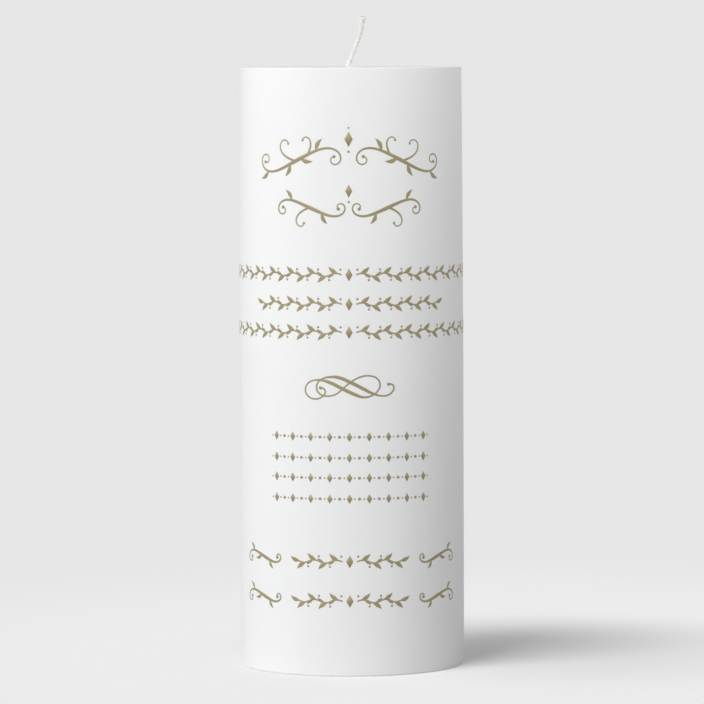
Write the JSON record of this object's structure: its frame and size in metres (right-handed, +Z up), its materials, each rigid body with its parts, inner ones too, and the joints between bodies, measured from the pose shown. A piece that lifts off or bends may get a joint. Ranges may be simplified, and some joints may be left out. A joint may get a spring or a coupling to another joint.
{
  "type": "pillar candle",
  "caption": "Tall round white wax pillar candle with a slight taper, a rounded top edge, a leaning cotton wick and a metal wick sustainer in a dished base.",
  "frame": {"origin": "centre of the base, on the surface that the candle stands on", "axes": "+Z up along the pillar's axis, -Y towards the viewer in the picture, so the wick leans towards +X"},
  "size_m": [0.0764, 0.0764, 0.2199],
  "materials": {
    "core_wax": "pressed white paraffin wax, slightly grainy",
    "coat_wax": "dipped white paraffin wax, smooth satin",
    "cotton": "braided cotton, lightly waxed",
    "tinplate": "stamped tin-plated steel",
    "gold_ink": "flat gold printing ink"
  },
  "bodies": {
    "root": {"wax_core": "core_wax", "wax_coat": "coat_wax", "wick": "cotton", "wick_sustainer": "tinplate"}
  },
  "joints": []
}
